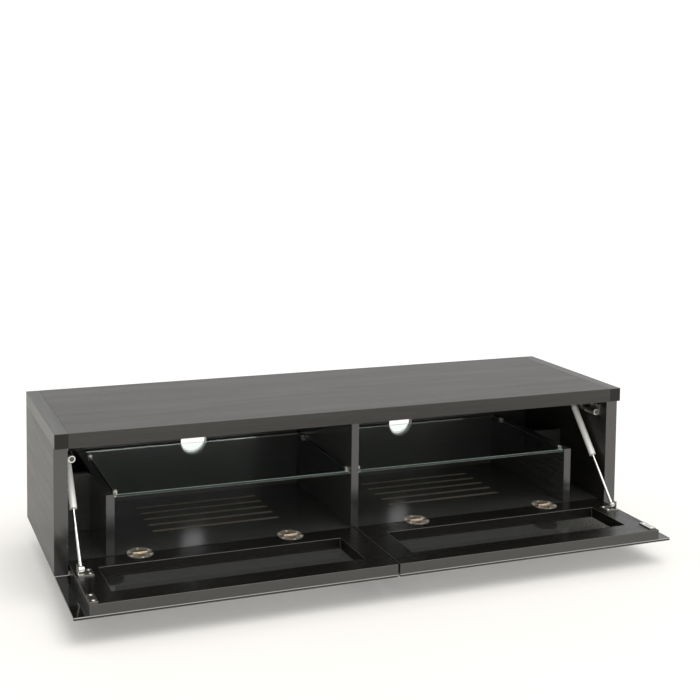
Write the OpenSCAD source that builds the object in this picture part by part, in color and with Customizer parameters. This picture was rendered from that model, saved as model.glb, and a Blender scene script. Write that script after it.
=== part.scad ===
// Low media cabinet with two drop-down glass doors, drawn with the doors open.
// Origin: bottom centre, on the floor. +X is the right-hand side, -Y is the front, +Z is up.

/* [Cabinet] */
// Overall width
cab_w = 1200; // [900:10:1500]
// Depth of the top board, front to back
cab_d = 365; // [340:5:450]
// Overall height above the floor
cab_h = 320; // [280:2:420]
// Height of the feet
foot_h = 54; // [46:1:90]
// Thickness of the top board
top_t = 28; // [22:1:36]
// Thickness of the side panels
side_t = 26; // [20:1:34]
// Thickness of the inner walls and the back
wall_t = 16; // [14:1:20]
// How far the top board stands out in front of the side panels
top_overhang = 11; // [8:1:20]

/* [Doors] */
// Thickness of the wooden door frames; the bottom board is half a millimetre thinner
frame_t = 19.5; // [18:0.5:24]
// Width of the rails and stiles of a door frame
rail_w = 48; // [42:1:56]
// Thickness of the glass pane on the face of a door
pane_t = 5; // [4:0.5:6]
// Gap between the two doors
mid_gap = 4; // [2:0.5:8]
// Gap between a door frame and the side panel
side_gap = 2; // [1:0.5:4]
// Gap above a closed door
head_gap = 3; // [2:0.5:6]
// How far the pane reaches below the hinge line when the door is closed
skirt = 18; // [8:1:22]
// Distance of each hinge from the middle of its door
hinge_offset = 150; // [90:5:180]

/* [Inside] */
// Height of the glass shelves above the inside floor, to the top of the glass
shelf_h = 116; // [90:1:135]
// Thickness of the glass shelves
glass_t = 5; // [4:0.5:8]
// Clear width of the compartment behind each side panel
end_bay_w = 73.5; // [60:0.5:120]
// Distance from the front of the inner walls to the cross panel of an end compartment
cross_setback = 160; // [120:5:190]
// Height of the cross panels above the inside floor
cross_h = 113; // [80:1:116]
// Gap between a shelf and the back
shelf_back_gap = 10; // [4:1:30]
// Diameter of the cable holes in the back
cable_hole_d = 57; // [45:1:64]
// Number of vent slots in the floor of each bay
slot_count = 5; // [3:1:6]
// Length of a vent slot
slot_len = 264; // [160:4:300]
// Width of a vent slot
slot_w = 10; // [6:1:14]
// How far the slots lie out from the middle of their bay
slot_shift_x = 9; // [0:1:20]
// How far the slots lie behind the middle of the bay
slot_shift_y = 24; // [0:1:30]
// Distance between neighbouring vent slots
slot_pitch = 37.5; // [24:0.5:38]

/* [Door struts] */
// Distance of the strut's plane from the inner face of the side panel
strut_inset = 14; // [13:0.5:20]
// Upper pivot, back from the hinge line
strut_back = 88.5; // [70:0.5:110]
// Upper pivot, down from the underside of the top board
strut_drop = 30; // [28:1:45]
// Lower pivot, out along the door from the hinge line
strut_reach = 69; // [60:1:80]
// Lower pivot, above the inner face of the door
strut_lift = 8; // [7.5:0.5:10]
// Diameter of the cylinder
cylinder_d = 14; // [12:1:15]
// Diameter of the rod
rod_d = 6; // [5:0.5:8]

/* [Hidden] */

$fn = 48;
eps = 0.5;

// Clearances shared by pieces that fit together.
stop_gap = 1;        // closed door frame to the inner walls
pane_gap = 0.5;      // closed pane to the front edges of the side panels
hinge_fit = 0.2;     // hinge halves in their pockets
pin_fit = 0.1;       // all round a pin or rod in its bore
screw_fit = 0.1;     // all round a screw in its hole
glass_fit = 0.3;     // shelf glass below the upper jaw of a clip

// Heights. An open door hangs with its pane just clear of the cabinet's underside.
base_t = frame_t - pane_gap;
body_z = foot_h;
floor_z = body_z + base_t;
ceiling_z = cab_h - top_t;
shelf_z = floor_z + shelf_h;

// Places front to back. The doors turn about hinge_y, level with the inside floor.
top_front = -cab_d / 2;
back_y = cab_d / 2;
side_front = top_front + top_overhang;
hinge_y = side_front + frame_t - pane_gap;
inner_front = hinge_y + stop_gap;
back_inner = back_y - wall_t;

// Places side to side, as distances from the middle.
side_inner = cab_w / 2 - side_t;
upright_outer = side_inner - end_bay_w;
upright_inner = upright_outer - wall_t;
divider_half = wall_t / 2;
bay_mid = (upright_inner + divider_half) / 2;

// Doors.
door_h = ceiling_z - floor_z - head_gap;
frame_start = 1;
frame_near = mid_gap / 2;
frame_far = side_inner - side_gap;
door_mid = (frame_near + frame_far) / 2;
pane_far = cab_w / 2 - 1;
pane_notch = frame_t - pane_gap;
hinge_x = [for (middle = [-door_mid, door_mid], way = [-1, 1]) middle + way * hinge_offset];

// Flap hinges.
cup_r = 24;
cup_body_r = 17.5;
cup_len = 5;
cup_start = 4.5;
hinge_t = 2;
cup_depth = 10;
barrel_d = 5.4;
barrel_gap = 0.6;
hinge_pin_d = 3;
knuckle_in = 6;
knuckle_out = 14;
knuckle_gap = 0.4;
dish_r = 7.5;
dish_y = 7;
dish_depth = 0.8;
hinge_screw_r = 19.6;
hinge_screw_angles = [20, 90, 160];

// Screws.
screw_d = 3;
screw_head_d = 6.4;
screw_head_t = 1.6;
screw_dome = 0.7;
screw_len = 13;
screw_room = 0.5;    // below the tip of a screw
back_screw_d = 3.5;
back_head_d = 8;
back_head_t = 2.4;
back_screw_depth = 22;

// Shelf clips.
clip_w = 9;
clip_jaw = 3.5;
clip_back = 2.5;
clip_reach = 7.5;
clip_pin_d = 5;
clip_pin_len = 8;
clip_screw_d = 5;
shelf_end_gap = clip_back + 0.5;
clip_front = inner_front + 16;
clip_rear = back_inner - 50;
shelf_rear = back_inner - shelf_back_gap;

// Struts: the pivots, and the length and tilt between them with the door open and closed.
strut_x = side_inner - strut_inset;
up_y = hinge_y + strut_back;
up_z = ceiling_z - strut_drop;
low_y = hinge_y - strut_reach;
low_z = floor_z + strut_lift;
open_len = norm([up_y - low_y, up_z - low_z]);
open_tilt = atan2(up_y - low_y, up_z - low_z);
closed_len = norm([up_y - hinge_y - strut_lift, up_z - floor_z - strut_reach]);
eye_d = 11;
eye_w = 8;
stud_d = 5;
neck_d = 7;
cylinder_wall = 1.8;
cylinder_cap = 4;
cylinder_start = eye_d / 2 + 3;
cylinder_end = closed_len - eye_d / 2 - 15;
cylinder_seal = 5;   // length of the cylinder's end that guides the rod
rod_end = eye_d / 2 + 6;
rod_spare = 2;       // rod short of the cylinder's cap with the door closed
rod_len = closed_len - cylinder_start - cylinder_cap - rod_spare - rod_end;
neck_sink = 1;       // how deep a neck starts inside its eye
plate_t = 2;
mount_len = 34;
mount_h = 18;
mount_screw_y = 11;  // screws from the stud, front and back
stud_gap = 0.5;      // end of the upper stud to the eye
bracket_reach = 21;  // foot of the door bracket, inward from the strut
bracket_len = 30;
bracket_screw_x = 15;
bracket_screw_y = 9;
ear_gap = 1;
ear_len = 16;
ear_rise = 8;        // ear above the pivot
rivet_d = 8;
rivet_start = 0.6;
rivet_end = 2;

// Magnetic catches and their strike plates.
catch_drop = 29;     // middle of the catch below the underside of the top
catch_z = ceiling_z - catch_drop;
catch_reach = catch_z - floor_z;
catch_x = side_inner - 11;
catch_d = 13;
catch_len = 38;
catch_tab_t = 3;
catch_tab_start = 4;
catch_tab_end = 2;
catch_tab_low = 8;   // tab below the middle of the case
catch_tab_high = 8;  // tab above the top of the case
catch_web_t = 8;
catch_screw_z = 4;   // screws above the top of the case
catch_screw_at = [0.3, 0.75];
magnet_d = 9;
magnet_t = 2;
strike_w = 14;
strike_h = 38;
strike_t = 2;
strike_screw_at = 0.34;
catch_front = hinge_y + strike_t + 0.4;

// Feet, set well in from the edges.
foot_d = 50;
foot_neck_d = 36;
foot_inset_x = 120;
foot_inset_y = 90;
foot_pad_t = 6;

wood = "#3b3836";
wood_dark = "#1d1c1b";
wood_light = "#6b6762";
glass_tint = "#8fb5a8";
pane_tint = "#17181a";
nickel = "#b9b6ae";
steel = "#c9cacb";
black_plastic = "#161616";

// ---------- helpers ----------

// A box from one corner to the opposite corner.
module block(a, b) {
    translate(a) cube(b - a);
}

// Draws its children on the left (-1) as a mirror image, or on the right (1).
module on_side(side) {
    mirror([side < 0 ? 1 : 0, 0, 0]) children();
}

// A round bar along X.
module bar_x(x0, x1, d) {
    translate([x0, 0, 0]) rotate([0, 90, 0]) cylinder(d = d, h = x1 - x0);
}

// Tilts a piece drawn upright to the line of the open strut: +Z points from the lower pivot to the upper.
module along_strut() {
    translate([strut_x, low_y, low_z]) rotate([-open_tilt, 0, 0]) children();
}

// ---------- carcass ----------

module top_panel() {
    color(wood)
        block([-side_inner, top_front, ceiling_z], [side_inner, back_y, cab_h]);
}

module top_end(side) {
    color(wood_light) on_side(side)
        block([side_inner, top_front, ceiling_z], [cab_w / 2, back_y, cab_h]);
}

module side_panel(side) {
    color(wood_light) on_side(side)
        difference() {
            block([side_inner, side_front, body_z], [cab_w / 2, back_y, ceiling_z]);
            place_mount_screws() board_hole();
            place_catch_screws() board_hole();
        }
}

module vent_slots() {
    mid_y = (inner_front + back_inner) / 2 + slot_shift_y;
    for (side = [-1, 1], i = [0 : slot_count - 1])
        translate([side * (bay_mid + slot_shift_x), mid_y + (i - (slot_count - 1) / 2) * slot_pitch,
                   body_z - eps])
            linear_extrude(base_t + 2 * eps) slot_outline();
}

module slot_outline() {
    square([slot_len - slot_w, slot_w], center = true);
    for (end = [-1, 1])
        translate([end * (slot_len - slot_w) / 2, 0]) circle(d = slot_w);
}

module bottom_panel() {
    color(wood_dark)
        difference() {
            block([-side_inner, inner_front, body_z], [side_inner, back_y, floor_z]);
            vent_slots();
            for (x = hinge_x)
                translate([x, hinge_y, floor_z]) hinge_pocket();
            back_screw_holes(back_screw_d + 2 * screw_fit, back_screw_depth + 1);
        }
}

module back_panel() {
    color(wood_dark)
        difference() {
            block([-side_inner, back_inner, floor_z], [side_inner, back_y, ceiling_z]);
            for (side = [-1, 1])
                translate([side * bay_mid, back_inner - eps, shelf_z])
                    rotate([-90, 0, 0]) cylinder(d = cable_hole_d, h = wall_t + 2 * eps);
            back_screw_holes(back_screw_d + 2 * screw_fit, back_screw_depth);
        }
}

module centre_divider() {
    color(wood)
        difference() {
            block([-divider_half, inner_front, floor_z], [divider_half, back_inner, ceiling_z]);
            for (side = [-1, 1])
                on_side(side) clip_pin_holes(divider_half, 1);
            back_screw_holes(back_screw_d + 2 * screw_fit, back_screw_depth + 1);
        }
}

module upright(side) {
    color(wood) on_side(side)
        difference() {
            block([upright_inner, inner_front, floor_z], [upright_outer, back_inner, shelf_z]);
            clip_pin_holes(upright_inner, -1);
            back_screw_holes(back_screw_d + 2 * screw_fit, back_screw_depth + 1);
        }
}

module cross_panel(side) {
    color(wood_dark) on_side(side)
        block([upright_outer, inner_front + cross_setback, floor_z],
              [side_inner, inner_front + cross_setback + wall_t, floor_z + cross_h]);
}

// Screws through the back: into the divider and into both uprights.
function back_screw_places() = concat(
    [for (k = [0.2, 0.8]) [0, floor_z + k * (ceiling_z - floor_z)]],
    [for (side = [-1, 1], k = [0.25, 0.75])
        [side * (upright_inner + wall_t / 2), floor_z + k * shelf_h]]);

module back_screw_holes(d, depth) {
    for (p = back_screw_places())
        translate([p[0], back_y + eps, p[1]])
            rotate([90, 0, 0]) cylinder(d = d, h = wall_t + depth + eps);
}

module back_screws() {
    color(steel)
        for (p = back_screw_places())
            translate([p[0], back_y, p[1]]) {
                rotate([90, 0, 0]) cylinder(d = back_screw_d, h = wall_t + back_screw_depth);
                rotate([-90, 0, 0]) pan_head(back_head_d, back_head_t);
            }
}

// A pan head with a cross recess, standing on Z = 0.
module pan_head(d, t) {
    difference() {
        union() {
            cylinder(d = d, h = t * 0.6);
            translate([0, 0, t * 0.6]) cylinder(d1 = d, d2 = d * 0.7, h = t * 0.4);
        }
        translate([0, 0, t]) cross_recess(d * 0.5, t * 0.6);
    }
}

module cross_recess(len, depth) {
    for (a = [0, 90])
        rotate(a) cube([len, len * 0.22, 2 * depth], center = true);
}

// ---------- glass shelves ----------

module glass_shelf(side) {
    color(glass_tint, 0.5) on_side(side)
        block([divider_half + shelf_end_gap, inner_front, shelf_z - glass_t],
              [upright_inner - shelf_end_gap, shelf_rear, shelf_z]);
}

// Dowel holes for the clips in the wall face at x, whose wood lies toward -X (1) or +X (-1).
module clip_pin_holes(x, facing) {
    for (y = [clip_front, clip_rear])
        translate([x, y, shelf_z - glass_t / 2])
            rotate([0, -90 * facing, 0])
                translate([0, 0, -eps]) cylinder(d = clip_pin_d + 2 * pin_fit, h = clip_pin_len + 0.5 + eps);
}

// One clip on a wall face at x: the glass rests on the lower jaw, below the upper jaw and its clamp screw.
module shelf_clip(x, y, facing) {
    under = -glass_t / 2;
    over = glass_t / 2 + glass_fit;
    translate([x, y, shelf_z - glass_t / 2]) mirror([facing < 0 ? 1 : 0, 0, 0]) {
        difference() {
            block([0, -clip_w / 2, under - clip_jaw], [clip_reach, clip_w / 2, over + clip_jaw]);
            block([clip_back, -clip_w, under], [clip_reach + eps, clip_w, over]);
        }
        bar_x(-clip_pin_len, 0, clip_pin_d);
        translate([clip_reach / 2 + 1, 0, over + clip_jaw]) cylinder(d = clip_screw_d, h = 1.2);
    }
}

module shelf_clips(side) {
    color(steel) on_side(side)
        for (y = [clip_front, clip_rear]) {
            shelf_clip(divider_half, y, 1);
            shelf_clip(upright_inner, y, -1);
        }
}

// ---------- feet ----------

function foot_place(i) =
    i == 5 ? [0, 0] : [(i % 2 == 1 ? -1 : 1) * (cab_w / 2 - foot_inset_x),
                       (i < 3 ? -1 : 1) * (cab_d / 2 - foot_inset_y)];

module foot(i) {
    p = foot_place(i);
    color(black_plastic) translate([p[0], p[1], 0]) {
        cylinder(d = foot_d, h = foot_pad_t);
        translate([0, 0, foot_pad_t]) cylinder(d1 = foot_d, d2 = foot_neck_d, h = 6);
        translate([0, 0, foot_pad_t + 6]) cylinder(d = foot_neck_d, h = foot_h - foot_pad_t - 10);
        translate([0, 0, foot_h - 4]) cylinder(d = foot_d + 6, h = 4);
    }
}

// ---------- flap hinges ----------
// A hinge has its axis along X at the local origin. The cabinet half lies toward +Y, the door half toward -Y.

// A half cup: a short straight part and then half a disc.
module half_cup(r, start) {
    translate([-r, start]) square([2 * r, cup_len - start]);
    translate([0, cup_len])
        intersection() {
            circle(r = r);
            translate([-r, 0]) square([2 * r, r]);
        }
}

module hinge_pocket() {
    translate([0, 0, -hinge_t])
        linear_extrude(hinge_t + eps) half_cup(cup_r + hinge_fit, -eps);
    translate([0, 0, -cup_depth - hinge_fit])
        linear_extrude(cup_depth) half_cup(cup_body_r + hinge_fit, 0);
    bar_x(-knuckle_out - 1, knuckle_out + 1, barrel_d + 2 * barrel_gap);
    place_hinge_screws() board_hole();
}

module place_hinge_screws() {
    for (a = hinge_screw_angles)
        translate([hinge_screw_r * cos(a), cup_len + hinge_screw_r * sin(a), 0]) children();
}

// A knuckle and the web that joins it to its plate.
module knuckle(x0, x1) {
    bar_x(x0, x1, barrel_d);
    block([x0, 0, -hinge_t], [x1, cup_start + 0.5, 0]);
}

module hinge_half(bore_fit) {
    difference() {
        union() {
            translate([0, 0, -hinge_t]) linear_extrude(hinge_t) half_cup(cup_r, cup_start);
            translate([0, 0, -cup_depth]) linear_extrude(cup_depth - hinge_t) half_cup(cup_body_r, cup_start);
            children();
        }
        bar_x(-knuckle_out - 1, knuckle_out + 1, hinge_pin_d + 2 * bore_fit);
        place_hinge_screws() fitting_hole(hinge_t);
        // a shallow dish that shows the round cup
        translate([0, cup_len + dish_y, -dish_depth]) cylinder(r = dish_r, h = dish_depth + eps);
    }
}

module hinge_plate(i) {
    color(nickel) translate([hinge_x[i - 1], hinge_y, floor_z])
        hinge_half(0) {
            knuckle(knuckle_in, knuckle_out);
            knuckle(-knuckle_out, -knuckle_in);
        }
}

module hinge_flap(i) {
    color(nickel) translate([hinge_x[i - 1], hinge_y, floor_z]) mirror([0, 1, 0])
        hinge_half(pin_fit) {
            knuckle(-knuckle_in + knuckle_gap, knuckle_in - knuckle_gap);
        }
}

module hinge_pin(i) {
    color(steel) translate([hinge_x[i - 1], hinge_y, floor_z])
        bar_x(-knuckle_out, knuckle_out, hinge_pin_d);
}

// A raised screw with its point down: the rim of its head is level with Z = 0, and the head rises above that.
// The hole for a screw through a fitting, from the fitting's face, with a seat for the head.
module fitting_hole(thickness) {
    translate([0, 0, -thickness - eps]) cylinder(d = screw_d + 2 * screw_fit, h = thickness + 2 * eps);
    translate([0, 0, -screw_head_t])
        cylinder(d = screw_head_d + 2 * screw_fit, h = screw_head_t + eps);
}

// The hole for a screw in the board behind a fitting.
module board_hole() {
    translate([0, 0, -screw_len - screw_room])
        cylinder(d = screw_d + 2 * screw_fit, h = screw_len + screw_room + eps);
}

module raised_screw() {
    translate([0, 0, -screw_len]) cylinder(d = screw_d, h = screw_len - screw_head_t / 2);
    difference() {
        union() {
            translate([0, 0, -screw_head_t]) cylinder(d = screw_head_d, h = screw_head_t);
            cylinder(d1 = screw_head_d, d2 = screw_head_d * 0.6, h = screw_dome);
        }
        translate([0, 0, screw_dome]) cross_recess(screw_head_d * 0.5, 1);
    }
}

module cabinet_screws() {
    color(steel) {
        for (x = hinge_x)
            translate([x, hinge_y, floor_z]) place_hinge_screws() raised_screw();
        for (side = [-1, 1])
            on_side(side) {
                place_mount_screws() raised_screw();
                place_catch_screws() raised_screw();
            }
    }
}

module door_screws(side) {
    first = side < 0 ? 0 : 2;
    color(steel) {
        for (i = [first, first + 1])
            translate([hinge_x[i], hinge_y, floor_z]) mirror([0, 1, 0]) place_hinge_screws() raised_screw();
        on_side(side) {
            place_bracket_screws() raised_screw();
            place_strike_screws() raised_screw();
        }
    }
}

// ---------- doors ----------

module door_frame(side) {
    first = side < 0 ? 0 : 2;
    near = hinge_y - frame_start;
    far = hinge_y - door_h;
    color(wood)
        difference() {
            on_side(side)
                difference() {
                    block([frame_near, far, floor_z - frame_t], [frame_far, near, floor_z]);
                    block([frame_near + rail_w, far + rail_w, floor_z - frame_t - eps],
                          [frame_far - rail_w, near - rail_w, floor_z + eps]);
                    place_bracket_screws() board_hole();
                    place_strike_screws() board_hole();
                }
            for (i = [first, first + 1])
                translate([hinge_x[i], hinge_y, floor_z]) mirror([0, 1, 0]) hinge_pocket();
        }
}

// The pane covers the frame, the front edge of the bottom board and the front edges of the side panels.
// Its outer corner is cut back beside the hinge line, so that it swings past the side panel.
module door_pane(side) {
    top = floor_z - frame_t;
    color(pane_tint) on_side(side)
        union() {
            block([frame_near, hinge_y - door_h, top - pane_t], [frame_far, hinge_y + skirt, top]);
            block([frame_far - eps, hinge_y - door_h, top - pane_t], [pane_far, hinge_y - pane_notch, top]);
        }
}

module place_strike_screws() {
    for (k = [-1, 1])
        translate([catch_x, hinge_y - catch_reach + k * strike_h * strike_screw_at, floor_z + strike_t])
            children();
}

module strike_plate(side) {
    color(steel) on_side(side)
        difference() {
            block([catch_x - strike_w / 2, hinge_y - catch_reach - strike_h / 2, floor_z],
                  [catch_x + strike_w / 2, hinge_y - catch_reach + strike_h / 2, floor_z + strike_t]);
            place_strike_screws() fitting_hole(strike_t);
        }
}

// ---------- magnetic catches ----------

module place_catch_screws() {
    for (k = catch_screw_at)
        translate([side_inner - catch_tab_t, catch_front + k * catch_len,
                   catch_z + catch_d / 2 + catch_screw_z])
            rotate([0, -90, 0]) children();
}

module catch_body(side) {
    tab_front = catch_front + catch_tab_start;
    tab_back = catch_front + catch_len - catch_tab_end;
    color(steel) on_side(side)
        difference() {
            union() {
                translate([catch_x, catch_front, catch_z])
                    rotate([-90, 0, 0]) cylinder(d = catch_d, h = catch_len);
                block([catch_x, tab_front, catch_z - catch_web_t / 2],
                      [side_inner, tab_back, catch_z + catch_web_t / 2]);
                block([side_inner - catch_tab_t, tab_front, catch_z - catch_tab_low],
                      [side_inner, tab_back, catch_z + catch_d / 2 + catch_tab_high]);
            }
            translate([catch_x, catch_front - eps, catch_z])
                rotate([-90, 0, 0]) cylinder(d = magnet_d + 2 * pin_fit, h = magnet_t + eps);
            place_catch_screws() fitting_hole(catch_tab_t);
        }
}

module catch_magnet(side) {
    color(nickel) on_side(side)
        translate([catch_x, catch_front, catch_z])
            rotate([-90, 0, 0]) cylinder(d = magnet_d, h = magnet_t);
}

// ---------- door struts ----------

// An eye with its bore along X.
module eye() {
    difference() {
        bar_x(-eye_w / 2, eye_w / 2, eye_d);
        bar_x(-eye_w, eye_w, stud_d + 2 * pin_fit);
    }
}

// The upper mount's screws go into the side panel, above and below the stud.
module place_mount_screws() {
    for (k = [-1, 1])
        translate([side_inner - plate_t, up_y + k * mount_screw_y, up_z]) rotate([0, -90, 0]) children();
}

// The plate on the side panel. Its stud ends at the face of the cylinder's eye.
module strut_mount(side) {
    color(steel) on_side(side)
        difference() {
            union() {
                block([side_inner - plate_t, up_y - mount_len / 2, up_z - mount_h / 2],
                      [side_inner, up_y + mount_len / 2, up_z + mount_h / 2]);
                translate([0, up_y, up_z]) bar_x(strut_x + eye_w / 2 + stud_gap, side_inner, neck_d);
            }
            place_mount_screws() fitting_hole(plate_t);
        }
}

module strut_cylinder(side) {
    bore_start = cylinder_start + cylinder_cap;
    color(steel) on_side(side) along_strut() translate([0, 0, open_len]) mirror([0, 0, 1]) {
        difference() {
            union() {
                translate([0, 0, eye_d / 2 - neck_sink])
                    cylinder(d = neck_d, h = cylinder_start - eye_d / 2 + 2 * neck_sink);
                translate([0, 0, cylinder_start]) cylinder(d = cylinder_d, h = cylinder_end - cylinder_start);
            }
            translate([0, 0, bore_start])
                cylinder(d = cylinder_d - 2 * cylinder_wall, h = cylinder_end - bore_start - cylinder_seal);
            translate([0, 0, bore_start]) cylinder(d = rod_d + 2 * pin_fit, h = cylinder_end);
        }
        bar_x(-eye_w / 2, eye_w / 2, eye_d);
    }
}

module strut_rod(side) {
    color(steel) on_side(side) along_strut() {
        eye();
        translate([0, 0, eye_d / 2 - neck_sink]) cylinder(d = neck_d, h = rod_end - eye_d / 2 + neck_sink);
        translate([0, 0, rod_end]) cylinder(d = rod_d, h = rod_len);
    }
}

module place_bracket_screws() {
    for (k = [-1, 1])
        translate([strut_x - bracket_screw_x, low_y + k * bracket_screw_y, floor_z + plate_t]) children();
}

// The angle bracket on the door: a foot on the frame, an ear beside the rod's eye, and a stud through the eye.
module door_bracket(side) {
    ear_x = strut_x + eye_w / 2 + ear_gap;
    free_x = strut_x - eye_w / 2;
    color(steel) on_side(side)
        difference() {
            union() {
                block([strut_x - bracket_reach, low_y - bracket_len / 2, floor_z],
                      [ear_x + plate_t, low_y + bracket_len / 2, floor_z + plate_t]);
                block([ear_x, low_y - ear_len / 2, floor_z],
                      [ear_x + plate_t, low_y + ear_len / 2, low_z + ear_rise]);
                translate([0, low_y, low_z]) {
                    bar_x(free_x - ear_gap, ear_x + eps, stud_d);
                    bar_x(free_x - rivet_end, free_x - rivet_start, rivet_d);
                }
            }
            place_bracket_screws() fitting_hole(plate_t);
        }
}

// ---------- the nodes ----------

top_panel();
top_end(-1);  // top_end_left
top_end(1);  // top_end_right
side_panel(-1);  // side_panel_left
side_panel(1);  // side_panel_right
bottom_panel();
back_panel();
centre_divider();
upright(-1);  // upright_left
upright(1);  // upright_right
cross_panel(-1);  // cross_panel_left
cross_panel(1);  // cross_panel_right
glass_shelf(-1);  // glass_shelf_left
glass_shelf(1);  // glass_shelf_right
shelf_clips(-1);  // shelf_clips_left
shelf_clips(1);  // shelf_clips_right
foot(1);  // foot_1
foot(2);  // foot_2
foot(3);  // foot_3
foot(4);  // foot_4
foot(5);  // foot_5
hinge_plate(1);  // hinge_plate_1
hinge_plate(2);  // hinge_plate_2
hinge_plate(3);  // hinge_plate_3
hinge_plate(4);  // hinge_plate_4
hinge_flap(1);  // hinge_flap_1
hinge_flap(2);  // hinge_flap_2
hinge_flap(3);  // hinge_flap_3
hinge_flap(4);  // hinge_flap_4
hinge_pin(1);  // hinge_pin_1
hinge_pin(2);  // hinge_pin_2
hinge_pin(3);  // hinge_pin_3
hinge_pin(4);  // hinge_pin_4
cabinet_screws();
back_screws();
door_screws(-1);  // door_screws_left
door_screws(1);  // door_screws_right
door_frame(-1);  // door_frame_left
door_frame(1);  // door_frame_right
door_pane(-1);  // door_pane_left
door_pane(1);  // door_pane_right
strike_plate(-1);  // strike_plate_left
strike_plate(1);  // strike_plate_right
catch_body(-1);  // catch_left
catch_body(1);  // catch_right
catch_magnet(-1);  // catch_magnet_left
catch_magnet(1);  // catch_magnet_right
strut_mount(-1);  // strut_mount_left
strut_mount(1);  // strut_mount_right
strut_cylinder(-1);  // strut_cylinder_left
strut_cylinder(1);  // strut_cylinder_right
strut_rod(-1);  // strut_rod_left
strut_rod(1);  // strut_rod_right
door_bracket(-1);  // door_bracket_left
door_bracket(1);  // door_bracket_right
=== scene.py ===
import math
import bmesh
import bpy
from mathutils import Matrix, Vector


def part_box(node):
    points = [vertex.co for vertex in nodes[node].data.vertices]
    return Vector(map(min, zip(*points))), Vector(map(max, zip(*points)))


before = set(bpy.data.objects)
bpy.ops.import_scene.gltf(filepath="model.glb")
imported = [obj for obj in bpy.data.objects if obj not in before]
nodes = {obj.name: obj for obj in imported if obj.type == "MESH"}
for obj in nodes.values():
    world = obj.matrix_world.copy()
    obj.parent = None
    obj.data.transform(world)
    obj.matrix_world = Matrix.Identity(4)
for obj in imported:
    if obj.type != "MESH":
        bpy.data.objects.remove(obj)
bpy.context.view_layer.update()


# ---------- camera ----------
# A camera on a stand to the left of the cabinet, 0.9 m above the floor and tipped slightly down. Its frame is
# shifted down as well, so that it needs little tilt and the uprights stay nearly parallel.

camera_place = Vector((-0.9439, -2.3946, 0.9043))
# In degrees: to the right of straight ahead, below level, and leaning.
camera_turn = -20.82
camera_tilt = 90 - 4.56
camera_roll = 0.55

camera = bpy.data.objects.new("studio_camera", bpy.data.cameras.new("studio_camera"))
bpy.context.scene.collection.objects.link(camera)
camera.matrix_world = (
    Matrix.Translation(camera_place)
    @ Matrix.Rotation(math.radians(camera_turn), 4, "Z")
    @ Matrix.Rotation(math.radians(camera_tilt), 4, "X")
    @ Matrix.Rotation(math.radians(camera_roll), 4, "Z")
)
camera.data.sensor_width = 36
camera.data.lens = 63.83
camera.data.shift_x = 0.05
camera.data.shift_y = -0.2
camera.data.clip_start = 0.05
camera.data.clip_end = 60
bpy.context.scene.camera = camera


# ---------- studio ----------
# A plain pale floor and a white wall under an even pale sky, with broad soft light from the front, high and
# low. Everything round the cabinet is pale, so its shadow is soft and its lacquer shows wide reflections.


def linear(hex_code):
    """An sRGB hex colour as the linear RGBA that Blender's sockets take."""
    channels = [int(hex_code[i : i + 2], 16) / 255 for i in (1, 3, 5)]
    return [c / 12.92 if c <= 0.04045 else ((c + 0.055) / 1.055) ** 2.4 for c in channels] + [1.0]


def add(tree, kind, settings=None, **inputs):
    """Adds a node. Each input is set to its value, or linked where that is another node's output.
    An input is named as Blender names it, or by its number, as in_0."""
    node = tree.nodes.new(kind)
    for name, value in (settings or {}).items():
        setattr(node, name, value)
    for name, value in inputs.items():
        socket = node.inputs[int(name[3:]) if name.startswith("in_") else name.replace("_", " ")]
        if isinstance(value, bpy.types.NodeSocket):
            tree.links.new(value, socket)
        else:
            socket.default_value = value
    return node


def new_finish(name):
    """An empty material, with its node tree and its output node."""
    material = bpy.data.materials.new(name)
    material.use_nodes = True
    material.node_tree.nodes.clear()
    return material, material.node_tree, material.node_tree.nodes.new("ShaderNodeOutputMaterial")


sky_strength = 0.8
floor_glow = 0.22
wall_glow = 1.06
bpy.context.scene.view_settings.view_transform = "Standard"
sky = bpy.data.worlds.new("white_studio")
bpy.context.scene.world = sky
sky.use_nodes = True
sky.node_tree.nodes["Background"].inputs["Color"].default_value = linear("#fffdf8")
sky.node_tree.nodes["Background"].inputs["Strength"].default_value = sky_strength

# Opal acrylic, matt, and lit a little from below as a light table is, so that no shadow on it goes dark.
opal_floor, tree, output = new_finish("floor_acrylic_opal_lit")
place = add(tree, "ShaderNodeTexCoord")
mottle = add(tree, "ShaderNodeTexNoise", Vector=place.outputs["Object"], Scale=3.0, Detail=3.0)
shade = add(tree, "ShaderNodeMix", {"data_type": "RGBA"}, Factor=mottle.outputs["Fac"],
            in_6=linear("#cfcdca"), in_7=linear("#d4d2cf"))
opal = add(tree, "ShaderNodeBsdfPrincipled", Base_Color=shade.outputs[2], Roughness=0.75,
           Emission_Color=linear("#fffefc"), Emission_Strength=floor_glow)
tree.links.new(opal.outputs[0], output.inputs["Surface"])

# A white paper wall lit from behind, so that it stays even.
lit_paper, tree, output = new_finish("backdrop_white_paper_lit")
place = add(tree, "ShaderNodeTexCoord")
fibre = add(tree, "ShaderNodeTexNoise", Vector=place.outputs["Object"], Scale=2.0, Detail=2.0)
shade = add(tree, "ShaderNodeMix", {"data_type": "RGBA"}, Factor=fibre.outputs["Fac"],
            in_6=linear("#fbfbfb"), in_7=linear("#ffffff"))
glow = add(tree, "ShaderNodeEmission", Color=shade.outputs[2], Strength=wall_glow)
tree.links.new(glow.outputs[0], output.inputs["Surface"])

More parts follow.
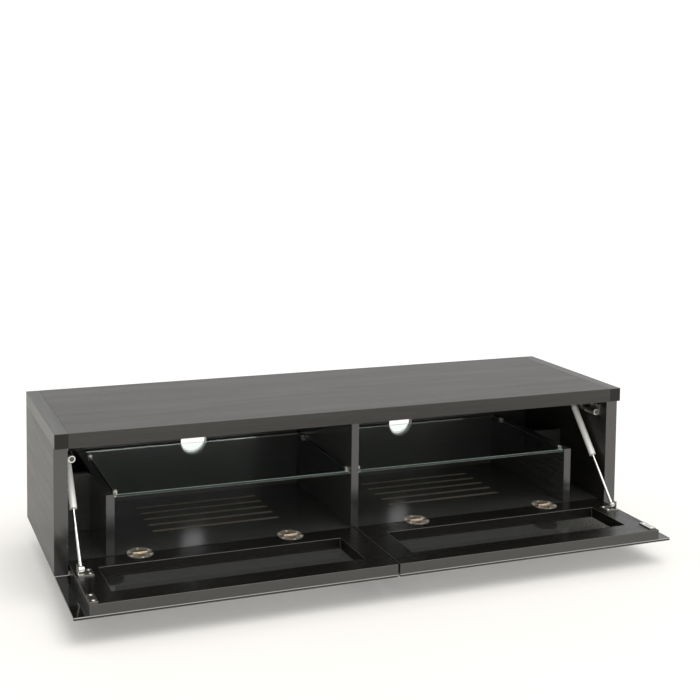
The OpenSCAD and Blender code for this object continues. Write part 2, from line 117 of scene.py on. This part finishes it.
floor_half = 12.0
wall_half = 5.0
wall_place = (2.4, 5.2, 4.9)
for name, half, place, tilt, finish in (
    ("studio_floor", floor_half, (0, 0, 0), 0, opal_floor),
    ("studio_wall", wall_half, wall_place, 90, lit_paper),
):
    mesh = bpy.data.meshes.new(name)
    bm = bmesh.new()
    bmesh.ops.create_grid(bm, x_segments=4, y_segments=4, size=half)
    bm.to_mesh(mesh)
    bm.free()
    sheet = bpy.data.objects.new(name, mesh)
    bpy.context.scene.collection.objects.link(sheet)
    sheet.location = place
    sheet.rotation_euler = (math.radians(tilt), 0, 0)
    sheet.data.materials.append(finish)

# Two very broad lamps, far off, whose shadows have no hard edge: one is high in front, and a low one
# reaches inside.
lamp_spread = 50
for name, energy, aim in (
    ("soft_light_high_front", 1.6, (-0.16, 0.34, -1.0)),
    ("soft_light_low_front", 0.7, (0.05, 1.0, -0.3)),
):
    lamp = bpy.data.lights.new(name, "SUN")
    lamp.energy = energy
    lamp.angle = math.radians(lamp_spread)
    light = bpy.data.objects.new(name, lamp)
    bpy.context.scene.collection.objects.link(light)
    light.rotation_euler = Vector(aim).to_track_quat("-Z", "Y").to_euler()


# ---------- top board and end strips ----------
# The top is a board faced with black-stained oak veneer, its grain running the length of the cabinet.
# A strip with its grain running front to back is joined on at each end, flush with the top.

tape_wrap = 0.0003  # how far an edge tape reaches back from the front of its board


def lipped(tree, board, place, front, tape_colour, tape_ior):
    """Covers the part of a board in front of a depth, in metres, with a glossy edge tape.
    The tape ripples softly, about every 30 mm, so its highlight wavers a little."""
    depth = add(tree, "ShaderNodeSeparateXYZ", Vector=place.outputs["Object"])
    ahead = add(tree, "ShaderNodeMath", {"operation": "LESS_THAN"}, in_0=depth.outputs["Y"], in_1=front)
    ripple = add(tree, "ShaderNodeTexNoise", Vector=place.outputs["Object"], Scale=1 / 0.03, Detail=2.0)
    sheen = add(tree, "ShaderNodeMapRange", Value=ripple.outputs["Fac"], To_Min=0.12, To_Max=0.2)
    tape = add(tree, "ShaderNodeBsdfPrincipled", Base_Color=linear(tape_colour), Roughness=sheen.outputs[0],
               IOR=tape_ior)
    return add(tree, "ShaderNodeMixShader", in_0=ahead.outputs[0], in_1=board.outputs[0],
               in_2=tape.outputs[0])


def stained_oak(name, dark, light, grain_axis, roughness, ior=1.5, tape=None):
    """Sliced oak veneer, stained and lacquered: open pores in long bands along the grain, under a thin film.
    Tape, if there is any, is a depth, a colour and an IOR for the lipping of the front edge."""
    material, tree, output = new_finish(name)
    place = add(tree, "ShaderNodeTexCoord")
    along = {"X": 0, "Y": 1, "Z": 2}[grain_axis]

    def stretched(length, width):
        """Coordinates in which one unit is this length along the grain and this width across, in metres."""
        scale = [1 / width] * 3
        scale[along] = 1 / length
        return add(tree, "ShaderNodeMapping", Vector=place.outputs["Object"], Scale=scale).outputs[0]

    # Flower figure, 40 mm wide, that drifts along the leaf of veneer.
    figure = add(tree, "ShaderNodeTexNoise", Vector=stretched(0.42, 0.04), Scale=1.0, Detail=2.0,
                 Roughness=0.5)
    # Growth rings, 3 mm apart.
    rings = add(tree, "ShaderNodeTexNoise", Vector=stretched(0.16, 0.0032), Scale=1.0, Detail=4.0,
                Roughness=0.62, Distortion=0.15)
    # Pores are about 0.3 mm wide: drawn 0.9 mm wide and 22 mm long, so that they show.
    pores = add(tree, "ShaderNodeTexNoise", Vector=stretched(0.022, 0.0009), Scale=1.0, Detail=2.0,
                Roughness=0.6)
    pore_depth = 0.00012
    pits = add(tree, "ShaderNodeMapRange", {"interpolation_type": "SMOOTHSTEP"}, Value=pores.outputs["Fac"],
               From_Min=0.36, From_Max=0.5)
    ring_share = 0.65
    figure_share = 0.5
    mixed = add(tree, "ShaderNodeMath", {"operation": "MULTIPLY"}, in_0=rings.outputs["Fac"], in_1=ring_share)
    both = add(tree, "ShaderNodeMath", {"operation": "MULTIPLY_ADD"}, in_0=figure.outputs["Fac"],
               in_1=figure_share, in_2=mixed.outputs[0])
    tone = add(tree, "ShaderNodeMapRange", Value=both.outputs[0], From_Min=0.38, From_Max=0.78)
    wood = add(tree, "ShaderNodeMix", {"data_type": "RGBA"}, Factor=tone.outputs[0], in_6=linear(dark),
               in_7=linear(light))
    pore_shade = add(tree, "ShaderNodeMapRange", Value=pits.outputs[0], To_Min=0.72, To_Max=1.0)
    stain = add(tree, "ShaderNodeVectorMath", {"operation": "SCALE"}, in_0=wood.outputs[2],
                Scale=pore_shade.outputs[0])
    sheen = add(tree, "ShaderNodeMapRange", Value=tone.outputs[0], To_Min=roughness + 0.05,
                To_Max=roughness - 0.04)
    relief = add(tree, "ShaderNodeBump", Strength=0.55, Distance=pore_depth, Height=pits.outputs[0])
    lacquer = add(tree, "ShaderNodeBsdfPrincipled", Base_Color=stain.outputs[0], Roughness=sheen.outputs[0],
                  IOR=ior, Normal=relief.outputs[0])
    if tape:
        lacquer = lipped(tree, lacquer, place, *tape)
    tree.links.new(lacquer.outputs[0], output.inputs["Surface"])
    return material


def dress(names, finish, rounding=0.0, edge_finish=None):
    """Gives CAD nodes a finish, and rounds their edges by a width in metres.
    The rounded edges have a finish of their own, the part's second one, if one is named."""
    sharp_from = 35
    edge_slot = 1
    for name in names:
        part = nodes[name]
        part.data.materials.clear()
        part.data.materials.append(finish)
        if edge_finish:
            part.data.materials.append(edge_finish)
        if rounding:
            weld = part.modifiers.new("one_skin", "WELD")
            weld.merge_threshold = 1e-6
            bevel = part.modifiers.new("eased_edges", "BEVEL")
            bevel.width = rounding
            bevel.segments = 2
            bevel.limit_method = "ANGLE"
            bevel.angle_limit = math.radians(sharp_from)
            bevel.use_clamp_overlap = False
            bevel.harden_normals = True
            if edge_finish:
                bevel.material = edge_slot


# Long-grain oak under a satin film: near black, with faint long streaks and a wide, soft reflection.
# Its eased edges are painted a shade paler, as a painted highlight along each edge.
top_oak = stained_oak("oak_black_stained_satin_long_grain", "#211f1d", "#302d2a", "X", 0.42)
top_edge_highlight = stained_oak("oak_black_stained_painted_edge_highlight", "#34312e", "#45413d", "X", 0.45)
# Cross-grain oak, greyer and a little smoother, so that it parts from the top. Its front is glossy tape.
strip_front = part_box("top_end_left")[0].y
strip_oak = stained_oak("oak_grey_stained_satin_cross_grain", "#1c1b19", "#2a2825", "Y", 0.36,
                        tape=(strip_front + tape_wrap, "#121211", 1.38))
# The strips' eased edges are painted paler too, as a painted highlight.
strip_edge_highlight = stained_oak("oak_grey_stained_painted_edge_highlight", "#34312e", "#45413d", "Y", 0.4)
dress(["top_panel"], top_oak, 0.0007, top_edge_highlight)
dress(["top_end_left", "top_end_right"], strip_oak, 0.0007, strip_edge_highlight)


# ---------- side panels ----------
# Veneered panels on each side of the carcass, under the ends of the top, with the grain running front to
# back. The satin film shows it as faint level streaks, and the front edge is lipped with a glossier tape.

side_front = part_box("side_panel_left")[0].y
side_oak = stained_oak("oak_grey_stained_satin_side_grain", "#1c1b19", "#282623", "Y", 0.42,
                       tape=(side_front + tape_wrap, "#1a1918", 1.9))
# The sides' eased edges are painted a little paler, as a painted highlight.
side_edge_highlight = stained_oak("oak_grey_stained_side_painted_edge_highlight", "#272523", "#35322f", "Y", 0.42)
dress(["side_panel_left", "side_panel_right"], side_oak, 0.0008, side_edge_highlight)


# ---------- inner boards ----------
# The floor, back, divider, uprights and low cross walls are chipboard faced with black foil, pressed
# smooth, so they reflect softly. Their cut edges are taped to match.


def foil_board(name, dark, light, roughness, tape=None, raw=None):
    """Melamine foil pressed on board: near black, with a faint printed grain and a slight orange peel.
    Raw, if there are any, are the two depths between which the walls of cut slots show bare chipboard."""
    material, tree, output = new_finish(name)
    place = add(tree, "ShaderNodeTexCoord")
    # Printed grain 140 mm long and 4 mm high.
    print_scale = add(tree, "ShaderNodeMapping", Vector=place.outputs["Object"],
                      Scale=(1 / 0.14, 1 / 0.14, 1 / 0.004))
    printed = add(tree, "ShaderNodeTexNoise", Vector=print_scale.outputs[0], Scale=1.0, Detail=3.0)
    tint = add(tree, "ShaderNodeMix", {"data_type": "RGBA"}, Factor=printed.outputs["Fac"],
               in_6=linear(dark), in_7=linear(light))
    # Orange peel about 5 mm across, left by the press plate.
    peel = add(tree, "ShaderNodeTexNoise", Vector=place.outputs["Object"], Scale=1 / 0.005, Detail=1.0)
    wiped = add(tree, "ShaderNodeTexNoise", Vector=place.outputs["Object"], Scale=1 / 0.09, Detail=3.0)
    sheen = add(tree, "ShaderNodeMapRange", Value=wiped.outputs["Fac"], To_Min=roughness - 0.05,
                To_Max=roughness + 0.07)
    relief = add(tree, "ShaderNodeBump", Strength=0.12, Distance=0.00005, Height=peel.outputs["Fac"])
    foil = add(tree, "ShaderNodeBsdfPrincipled", Base_Color=tint.outputs[2], Roughness=sheen.outputs[0],
               IOR=1.5, Normal=relief.outputs[0])
    if tape:
        foil = lipped(tree, foil, place, *tape)
    if raw:
        # Chips about 2 mm across, bound in brown resin, on upright faces only.
        upright_below = 0.3
        chips = add(tree, "ShaderNodeTexVoronoi", Vector=place.outputs["Object"], Scale=1 / 0.002)
        chip_tint = add(tree, "ShaderNodeMix", {"data_type": "RGBA"}, Factor=chips.outputs["Color"],
                        in_6=linear("#4a443b"), in_7=linear("#6d6558"))
        bare = add(tree, "ShaderNodeBsdfPrincipled", Base_Color=chip_tint.outputs[2], Roughness=0.8)
        spot = add(tree, "ShaderNodeSeparateXYZ", Vector=place.outputs["Object"])
        facing = add(tree, "ShaderNodeSeparateXYZ", Vector=place.outputs["Normal"])
        flat = add(tree, "ShaderNodeMath", {"operation": "ABSOLUTE"}, in_0=facing.outputs["Z"])
        upright = add(tree, "ShaderNodeMath", {"operation": "LESS_THAN"}, in_0=flat.outputs[0],
                      in_1=upright_below)
        inward = add(tree, "ShaderNodeMath", {"operation": "COMPARE"}, in_0=spot.outputs["Y"],
                     in_1=(raw[0] + raw[1]) / 2, in_2=(raw[1] - raw[0]) / 2)
        cut = add(tree, "ShaderNodeMath", {"operation": "MULTIPLY"}, in_0=upright.outputs[0],
                  in_1=inward.outputs[0])
        foil = add(tree, "ShaderNodeMixShader", in_0=cut.outputs[0], in_1=foil.outputs[0],
                   in_2=bare.outputs[0])
    tree.links.new(foil.outputs[0], output.inputs["Surface"])
    return material


wall_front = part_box("centre_divider")[0].y
wall_tape = (wall_front + tape_wrap, "#242423", 1.8)
# Foil: deep black with blurred reflections. Where a corner is eased it is painted a little paler, as a
# painted highlight, and is duller.
black_foil = foil_board("melamine_black_pressed", "#2a2a29", "#383837", 0.2, tape=wall_tape)
foil_edge_highlight = foil_board("melamine_black_painted_edge_highlight", "#333230", "#403f3c", 0.25)
wall_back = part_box("back_panel")[0].y
# The floor's vent slots lie between these two depths. Their walls show brown chips in the black.
slot_zone = (wall_front + 0.04, wall_back - 0.01)
slotted_foil = foil_board("melamine_black_pressed_slotted", "#2a2a29", "#383837", 0.2, tape=wall_tape,
                          raw=slot_zone)
dress(["bottom_panel"], slotted_foil)
dress(["back_panel"], black_foil)
dress(["centre_divider", "upright_left", "upright_right", "cross_panel_left", "cross_panel_right"],
      black_foil, 0.0006, foil_edge_highlight)


# ---------- doors ----------
# Each door is a frame of black-stained oak round an open window, with a full pane of smoked glass bonded to
# its outer face. The pane stands past the frame at the outer side and below the hinge line.

enamel_border = 0.048  # width of the black border, in from the outside of the frame
(door_side_in, door_front, _), (door_side_out, door_back, _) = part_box("door_frame_right")
# The darkest and smoothest of the stained oak: almost a black mirror at a low angle.
# Its eased edges are painted pale, as a painted highlight.
door_oak = stained_oak("oak_black_stained_semi_gloss", "#0f0e0e", "#181715", "X", 0.24, ior=1.36,
                       tape=(door_front + tape_wrap, "#262523", 1.66))
door_edge_highlight = stained_oak("oak_black_stained_door_painted_edge_highlight", "#3b3935", "#4c4945", "X", 0.3)
dress(["door_frame_left", "door_frame_right"], door_oak, 0.0009, door_edge_highlight)

# Float glass tinted in the melt, with a hard clear shine. A black enamel border, fired on behind the frame,
# leaves only the middle clear: there, with the door open, the pale floor shows through dimly.
smoked_glass, tree, output = new_finish("float_glass_smoked_polished")
place = add(tree, "ShaderNodeTexCoord")
smear = add(tree, "ShaderNodeTexNoise", Vector=place.outputs["Object"], Scale=1 / 0.06, Detail=4.0)
sheen = add(tree, "ShaderNodeMapRange", Value=smear.outputs["Fac"], To_Min=0.02, To_Max=0.06)
tint = add(tree, "ShaderNodeMix", {"data_type": "RGBA"}, Factor=smear.outputs["Fac"],
           in_6=linear("#111110"), in_7=linear("#181816"))
enamel = add(tree, "ShaderNodeBsdfPrincipled", Base_Color=tint.outputs[2], Roughness=sheen.outputs[0],
             IOR=1.5)
smoke = add(tree, "ShaderNodeBsdfPrincipled", Base_Color=linear("#6e6e6b"), Roughness=sheen.outputs[0],
            IOR=1.5, Transmission_Weight=0.94)
spot = add(tree, "ShaderNodeSeparateXYZ", Vector=place.outputs["Object"])
side = add(tree, "ShaderNodeMath", {"operation": "ABSOLUTE"}, in_0=spot.outputs["X"])
borders = []
for value, limit, kind in (
    (side.outputs[0], door_side_in + enamel_border, "GREATER_THAN"),
    (side.outputs[0], door_side_out - enamel_border, "LESS_THAN"),
    (spot.outputs["Y"], door_front + enamel_border, "GREATER_THAN"),
    (spot.outputs["Y"], door_back - enamel_border, "LESS_THAN"),
):
    borders.append(add(tree, "ShaderNodeMath", {"operation": kind}, in_0=value, in_1=limit).outputs[0])
clear = borders[0]
for border in borders[1:]:
    clear = add(tree, "ShaderNodeMath", {"operation": "MULTIPLY"}, in_0=clear, in_1=border).outputs[0]
glass = add(tree, "ShaderNodeMixShader", in_0=clear, in_1=enamel.outputs[0], in_2=smoke.outputs[0])
tree.links.new(glass.outputs[0], output.inputs["Surface"])

# The ground arris of the pane, frosted. Its upward-facing side is painted pale, a painted highlight, and its
# downward-facing side is painted dark, a painted shade.
highlight_from = 0.05
ground_edge, tree, output = new_finish("float_glass_ground_edge_painted_highlight_and_shade")
place = add(tree, "ShaderNodeTexCoord")
grit = add(tree, "ShaderNodeTexNoise", Vector=place.outputs["Object"], Scale=1 / 0.0012, Detail=2.0)
tint = add(tree, "ShaderNodeMix", {"data_type": "RGBA"}, Factor=grit.outputs["Fac"], in_6=linear("#7d7f7c"),
           in_7=linear("#a5a7a4"))
relief = add(tree, "ShaderNodeBump", Strength=0.3, Distance=0.00005, Height=grit.outputs["Fac"])
glass = add(tree, "ShaderNodeBsdfPrincipled", Base_Color=tint.outputs[2], Roughness=0.38, IOR=1.52,
            Normal=relief.outputs[0])
dark = add(tree, "ShaderNodeBsdfPrincipled", Base_Color=linear("#1b1c1b"), Roughness=0.2, IOR=1.52)
# Faces turned upward take the pale copy as painted highlight, the rest the dark copy as painted shade.
facing = add(tree, "ShaderNodeSeparateXYZ", Vector=place.outputs["Normal"])
highlight_side = add(tree, "ShaderNodeMath", {"operation": "GREATER_THAN"}, in_0=facing.outputs["Z"],
            in_1=highlight_from)
edge = add(tree, "ShaderNodeMixShader", in_0=highlight_side.outputs[0], in_1=dark.outputs[0], in_2=glass.outputs[0])
tree.links.new(edge.outputs[0], output.inputs["Surface"])
dress(["door_pane_left", "door_pane_right"], smoked_glass, 0.0015, ground_edge)


# ---------- glass shelves ----------
# Toughened clear glass, laid in metal clips. Its edges are ground and polished, and look green because the
# light in them has come a long way through the glass.

clear_glass, tree, output = new_finish("float_glass_clear_polished")
place = add(tree, "ShaderNodeTexCoord")
smear = add(tree, "ShaderNodeTexNoise", Vector=place.outputs["Object"], Scale=1 / 0.08, Detail=4.0)
sheen = add(tree, "ShaderNodeMapRange", Value=smear.outputs["Fac"], To_Min=0.0, To_Max=0.03)
glass = add(tree, "ShaderNodeBsdfPrincipled", Base_Color=linear("#f1fbf7"), Roughness=sheen.outputs[0],
            IOR=1.52, Transmission_Weight=1.0)
depth = add(tree, "ShaderNodeVolumeAbsorption", Color=linear("#a9dcc9"), Density=6.0)
tree.links.new(glass.outputs[0], output.inputs["Surface"])
tree.links.new(depth.outputs[0], output.inputs["Volume"])

# The polished edge: a dull sea-green line, part clear, with a softened highlight.
polished_edge, tree, output = new_finish("float_glass_clear_edge")
place = add(tree, "ShaderNodeTexCoord")
grit = add(tree, "ShaderNodeTexNoise", Vector=place.outputs["Object"], Scale=1 / 0.002, Detail=2.0)
sheen = add(tree, "ShaderNodeMapRange", Value=grit.outputs["Fac"], To_Min=0.15, To_Max=0.3)
glass = add(tree, "ShaderNodeBsdfPrincipled", Base_Color=linear("#a9c9bd"), Roughness=sheen.outputs[0],
            IOR=1.52, Transmission_Weight=0.45)
tree.links.new(glass.outputs[0], output.inputs["Surface"])
dress(["glass_shelf_left", "glass_shelf_right"], clear_glass, 0.0006, polished_edge)


# ---------- hinges ----------
# Flat flap hinges let flush into the floor and the door, four in all: pressed steel, nickel plated, with a
# warm cast. Faces off the flat face, such as the dished cups, are painted darker, as painted shade.
# Three screws hold each half.


def worked_metal(name, low, high, roughness, grit_size, recess_shade=None):
    """Plated or polished metal, with a fine mottle in colour and polish, and soft tool marks.
    Recess shade, if any, is the flat face's height, and a darker painted shade for every face off it."""
    face_slack = 0.0003
    material, tree, output = new_finish(name)
    place = add(tree, "ShaderNodeTexCoord")
    mottle = add(tree, "ShaderNodeTexNoise", Vector=place.outputs["Object"], Scale=1 / grit_size, Detail=3.0)
    tint = add(tree, "ShaderNodeMix", {"data_type": "RGBA"}, Factor=mottle.outputs["Fac"],
               in_6=linear(low), in_7=linear(high))
    tone = tint.outputs[2]
    if recess_shade:
        spot = add(tree, "ShaderNodeSeparateXYZ", Vector=place.outputs["Object"])
        # Every face away from the flat face's height gets the darker tone: painted shade in cups and
        # recesses.
        unshaded_face = add(tree, "ShaderNodeMath", {"operation": "COMPARE"}, in_0=spot.outputs["Z"], in_1=recess_shade[0],
                   in_2=face_slack)
        tone = add(tree, "ShaderNodeMix", {"data_type": "RGBA"}, Factor=unshaded_face.outputs[0],
                   in_6=linear(recess_shade[1]), in_7=tone).outputs[2]
    sheen = add(tree, "ShaderNodeMapRange", Value=mottle.outputs["Fac"], To_Min=roughness - 0.08,
                To_Max=roughness + 0.1)
    # Tool marks are a sixth the size of the mottle.
    scratch = add(tree, "ShaderNodeTexNoise", Vector=place.outputs["Object"], Scale=6 / grit_size,
                  Detail=1.0)
    relief = add(tree, "ShaderNodeBump", Strength=0.2, Distance=0.00004, Height=scratch.outputs["Fac"])
    metal = add(tree, "ShaderNodeBsdfPrincipled", Base_Color=tone, Metallic=1.0,
                Roughness=sheen.outputs[0], Normal=relief.outputs[0])
    tree.links.new(metal.outputs[0], output.inputs["Surface"])
    return material


hinge_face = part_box("door_frame_left")[1].z
# The hinge nickel carries painted shade on every face below or off its flat face.
hinge_nickel = worked_metal("steel_nickel_plated_warm_painted_shade", "#bfb3a1", "#fff6e8", 0.47, 0.004,
                            recess_shade=(hinge_face, "#a89b88"))
# The pin is smoother and a shade darker: a thin line between the two halves.
pin_steel = worked_metal("steel_nickel_plated_pin", "#a9a297", "#c4bcae", 0.25, 0.003)
hinge_numbers = range(1, 5)
dress([f"hinge_plate_{i}" for i in hinge_numbers] + [f"hinge_flap_{i}" for i in hinge_numbers],
      hinge_nickel)
dress([f"hinge_pin_{i}" for i in hinge_numbers], pin_steel)


# ---------- screws ----------
# Cross-headed wood screws, zinc plated, with low domed heads that stand a little above the fittings.
# The zinc is nearly white and dull, so each head is a pale dot and not a glint.

screw_zinc = worked_metal("steel_zinc_plated_bright", "#ebe8e2", "#faf8f4", 0.52, 0.002)
dress(["cabinet_screws", "back_screws", "door_screws_left", "door_screws_right"], screw_zinc)


# ---------- shelf clips ----------
# Small clips pinned into the walls, with a jaw over and under the edge of the glass. They are zinc alloy,
# cast and nickel plated, which gives them small clean highlights on a cool grey.

clip_nickel = worked_metal("zinc_alloy_cast_nickel_plated", "#b0aea8", "#d2d0ca", 0.26, 0.003)
dress(["shelf_clips_left", "shelf_clips_right"], clip_nickel)


# ---------- door struts ----------
# A sliding stay at the outer end of each door: a painted tube on a stud inside the side panel, and a steel
# rod that ends at an angle bracket on the door.

# Baked paint, white with a trace of silver: pale and even, with a long highlight from its clear coat.
strut_paint, tree, output = new_finish("paint_silver_white_baked")
place = add(tree, "ShaderNodeTexCoord")
flake = add(tree, "ShaderNodeTexNoise", Vector=place.outputs["Object"], Scale=1 / 0.0015, Detail=2.0)
tint = add(tree, "ShaderNodeMix", {"data_type": "RGBA"}, Factor=flake.outputs["Fac"],
           in_6=linear("#f2f2ef"), in_7=linear("#fbfbf8"))
relief = add(tree, "ShaderNodeBump", Strength=0.1, Distance=0.00004, Height=flake.outputs["Fac"])
paint = add(tree, "ShaderNodeBsdfPrincipled", Base_Color=tint.outputs[2], Roughness=0.36, Coat_Weight=0.6,
            Coat_Roughness=0.12, Normal=relief.outputs[0])
tree.links.new(paint.outputs[0], output.inputs["Surface"])
# The rod is drawn and polished steel, with a sharp bright line. The fittings are cast, and a little duller.
rod_steel = worked_metal("steel_drawn_polished", "#c9c9c6", "#e4e4e1", 0.24, 0.004)
fitting_zinc = worked_metal("zinc_alloy_cast_bright", "#b4b2ac", "#d8d6d0", 0.3, 0.003)
dress(["strut_cylinder_left", "strut_cylinder_right"], strut_paint)
dress(["strut_rod_left", "strut_rod_right"], rod_steel)
dress(["strut_mount_left", "strut_mount_right", "door_bracket_left", "door_bracket_right"], fitting_zinc)


# ---------- magnetic catches ----------
# A drawn steel cup high on each side panel holds a grey ferrite magnet, which meets a thin steel plate on
# the door.


def fine_grained(name, dark, light, roughness, grain_size):
    """A surface with an even fine grain and a dull shine, as on ground ferrite or moulded plastic."""
    material, tree, output = new_finish(name)
    place = add(tree, "ShaderNodeTexCoord")
    grain = add(tree, "ShaderNodeTexNoise", Vector=place.outputs["Object"], Scale=1 / grain_size, Detail=2.0)
    tint = add(tree, "ShaderNodeMix", {"data_type": "RGBA"}, Factor=grain.outputs["Fac"],
               in_6=linear(dark), in_7=linear(light))
    sheen = add(tree, "ShaderNodeMapRange", Value=grain.outputs["Fac"], To_Min=roughness - 0.06,
                To_Max=roughness + 0.08)
    relief = add(tree, "ShaderNodeBump", Strength=0.25, Distance=0.00006, Height=grain.outputs["Fac"])
    surface = add(tree, "ShaderNodeBsdfPrincipled", Base_Color=tint.outputs[2], Roughness=sheen.outputs[0],
                  IOR=1.49, Normal=relief.outputs[0])
    tree.links.new(surface.outputs[0], output.inputs["Surface"])
    return material


# The cup is bright zinc, a clear ring round the dull dark grey of the magnet. The plate is plainer.
catch_steel = worked_metal("steel_zinc_plated_drawn", "#cfcdc8", "#eceae5", 0.3, 0.002)
ferrite = fine_grained("ferrite_sintered_ground", "#4a4a4c", "#636365", 0.4, 0.0008)
strike_steel = worked_metal("steel_zinc_plated_rolled", "#b5b3ae", "#d0cec9", 0.28, 0.003)
dress(["catch_left", "catch_right"], catch_steel)
dress(["catch_magnet_left", "catch_magnet_right"], ferrite)
dress(["strike_plate_left", "strike_plate_right"], strike_steel)


# ---------- feet ----------
# Five moulded polypropylene feet, set well in under the floor of the cabinet, so that it seems to float.
# They are black, with a fine dull grain from the mould.

black_foot = fine_grained("polypropylene_black_moulded", "#151515", "#1f1f1f", 0.42, 0.0012)
dress([f"foot_{i}" for i in range(1, 6)], black_foot)
